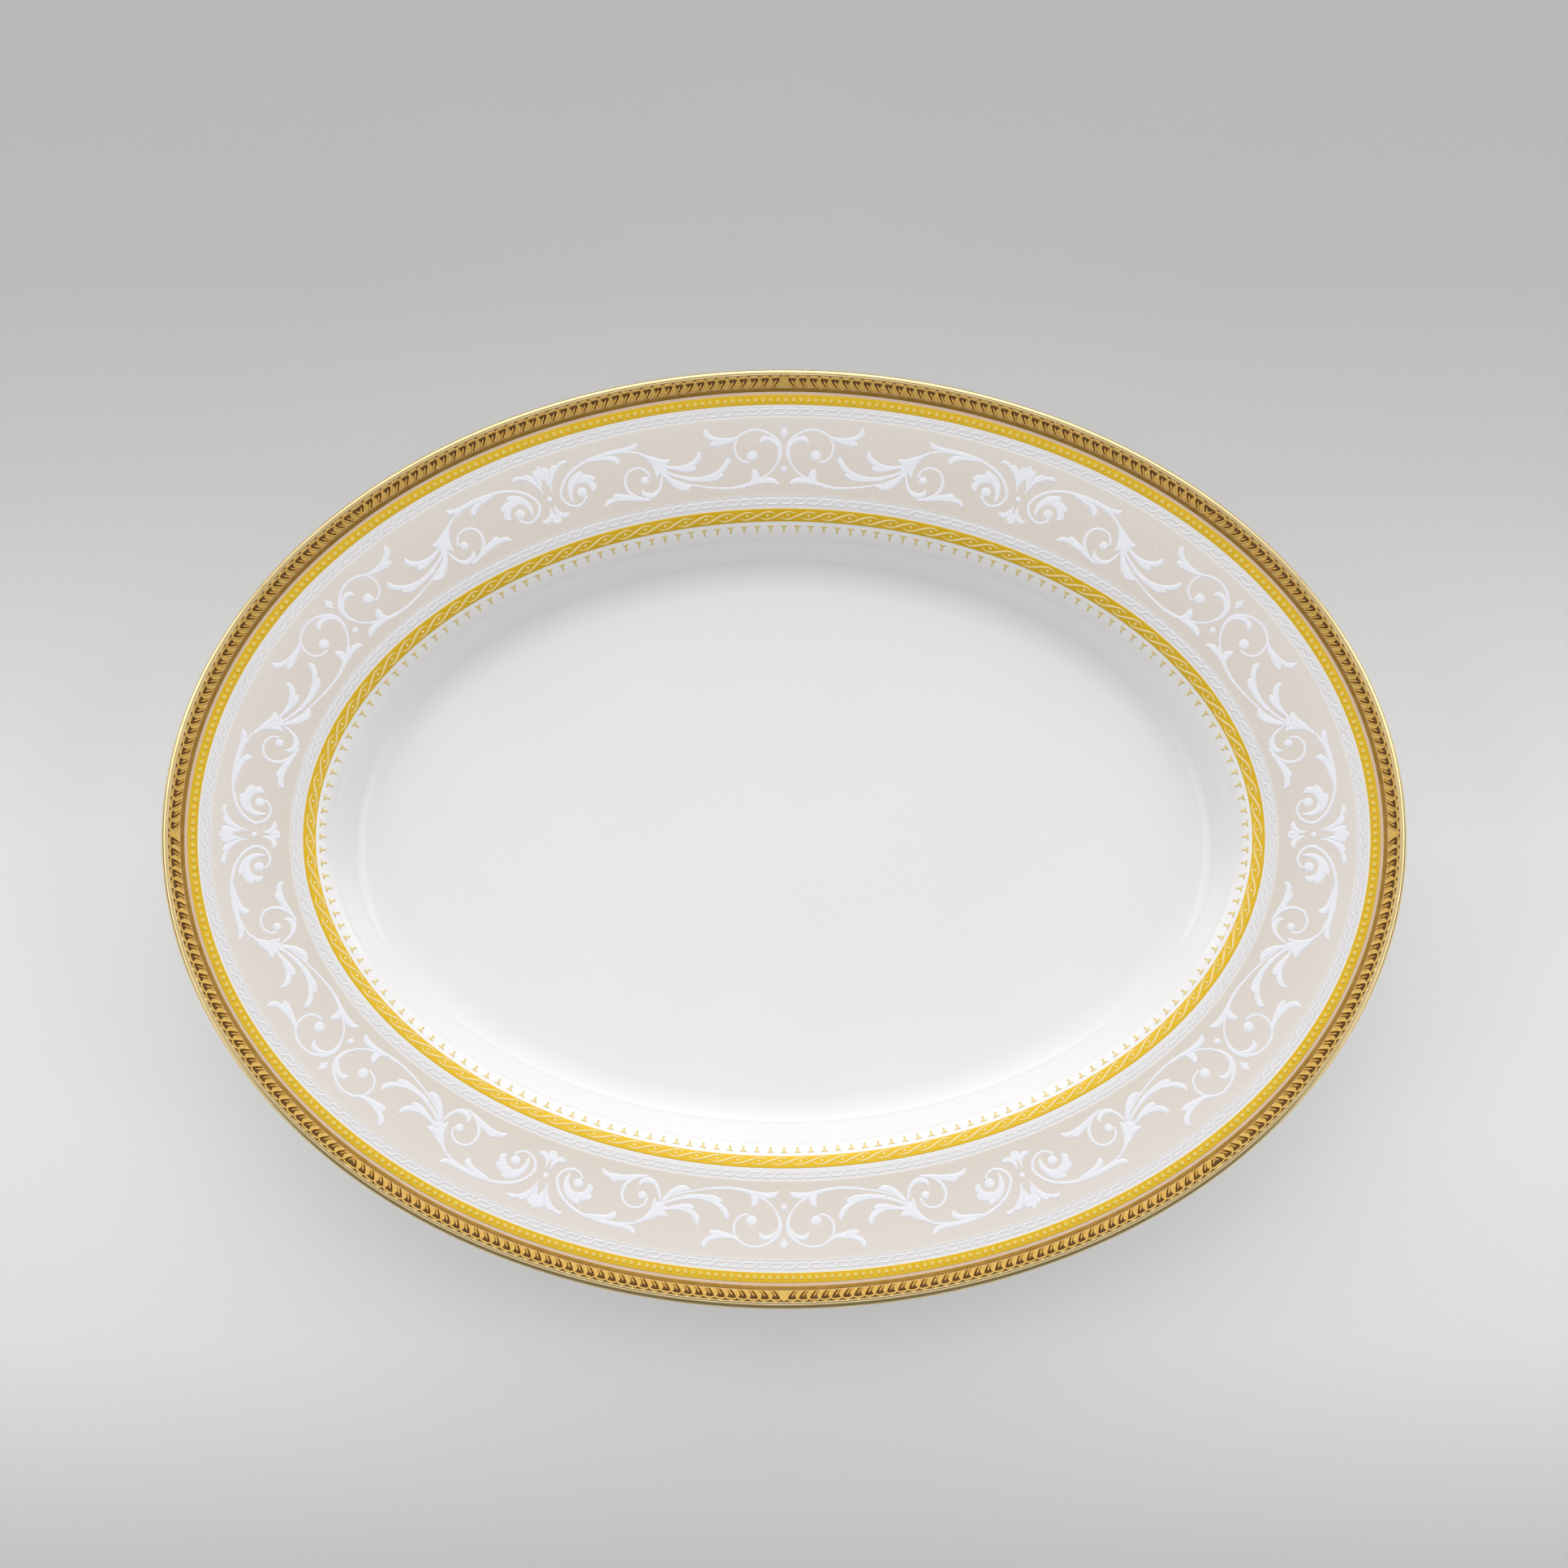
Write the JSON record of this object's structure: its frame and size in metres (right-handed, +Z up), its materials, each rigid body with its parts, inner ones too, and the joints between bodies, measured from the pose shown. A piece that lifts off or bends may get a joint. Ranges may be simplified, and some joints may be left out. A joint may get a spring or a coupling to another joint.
{
  "type": "oval serving platter",
  "caption": "Oval bone china serving platter with a wide flat rim, gilded edge, gold bands and raised white scrollwork on a taupe ground.",
  "frame": {"origin": "on the table under the middle of the foot ring", "axes": "+X along the long axis, +Y along the short axis, +Z up out of the well"},
  "size_m": [0.356, 0.271, 0.0285],
  "materials": {
    "bone_china": "glossy clear glaze over translucent white bone china",
    "polished_gold": "burnished bright gold",
    "etched_gold": "acid-etched gold, bright on the raised parts and brown in the recesses",
    "yellow_gold": "satin yellow gold band",
    "white_enamel": "raised white enamel, soft gloss",
    "taupe_ground": "pale taupe ground colour under gloss"
  },
  "bodies": {
    "root": {"china_body": "bone_china", "rim_gold_lip": "polished_gold", "rim_gold_frieze": "etched_gold", "rim_gold_line": "polished_gold", "bead_band_gold": "yellow_gold", "outer_chain_relief": "white_enamel", "taupe_ground": "taupe_ground", "inner_chain_relief": "white_enamel", "guilloche_band_gold": "yellow_gold", "drop_fringe_gold": "yellow_gold", "scroll_1": "white_enamel", "scroll_2": "white_enamel", "scroll_3": "white_enamel", "scroll_4": "white_enamel", "scroll_5": "white_enamel", "scroll_6": "white_enamel", "scroll_7": "white_enamel", "scroll_8": "white_enamel", "scroll_9": "white_enamel", "scroll_10": "white_enamel", "scroll_11": "white_enamel", "scroll_12": "white_enamel", "palmette_1": "white_enamel", "junction_diamond_1": "white_enamel", "junction_dot_1": "white_enamel", "palmette_2": "white_enamel", "junction_diamond_2": "white_enamel", "junction_dot_2": "white_enamel", "palmette_3": "white_enamel", "junction_diamond_3": "white_enamel", "junction_dot_3": "white_enamel", "palmette_4": "white_enamel", "junction_diamond_4": "white_enamel", "junction_dot_4": "white_enamel", "palmette_5": "white_enamel", "junction_diamond_5": "white_enamel", "junction_dot_5": "white_enamel", "palmette_6": "white_enamel", "junction_diamond_6": "white_enamel", "junction_dot_6": "white_enamel"}
  },
  "joints": []
}
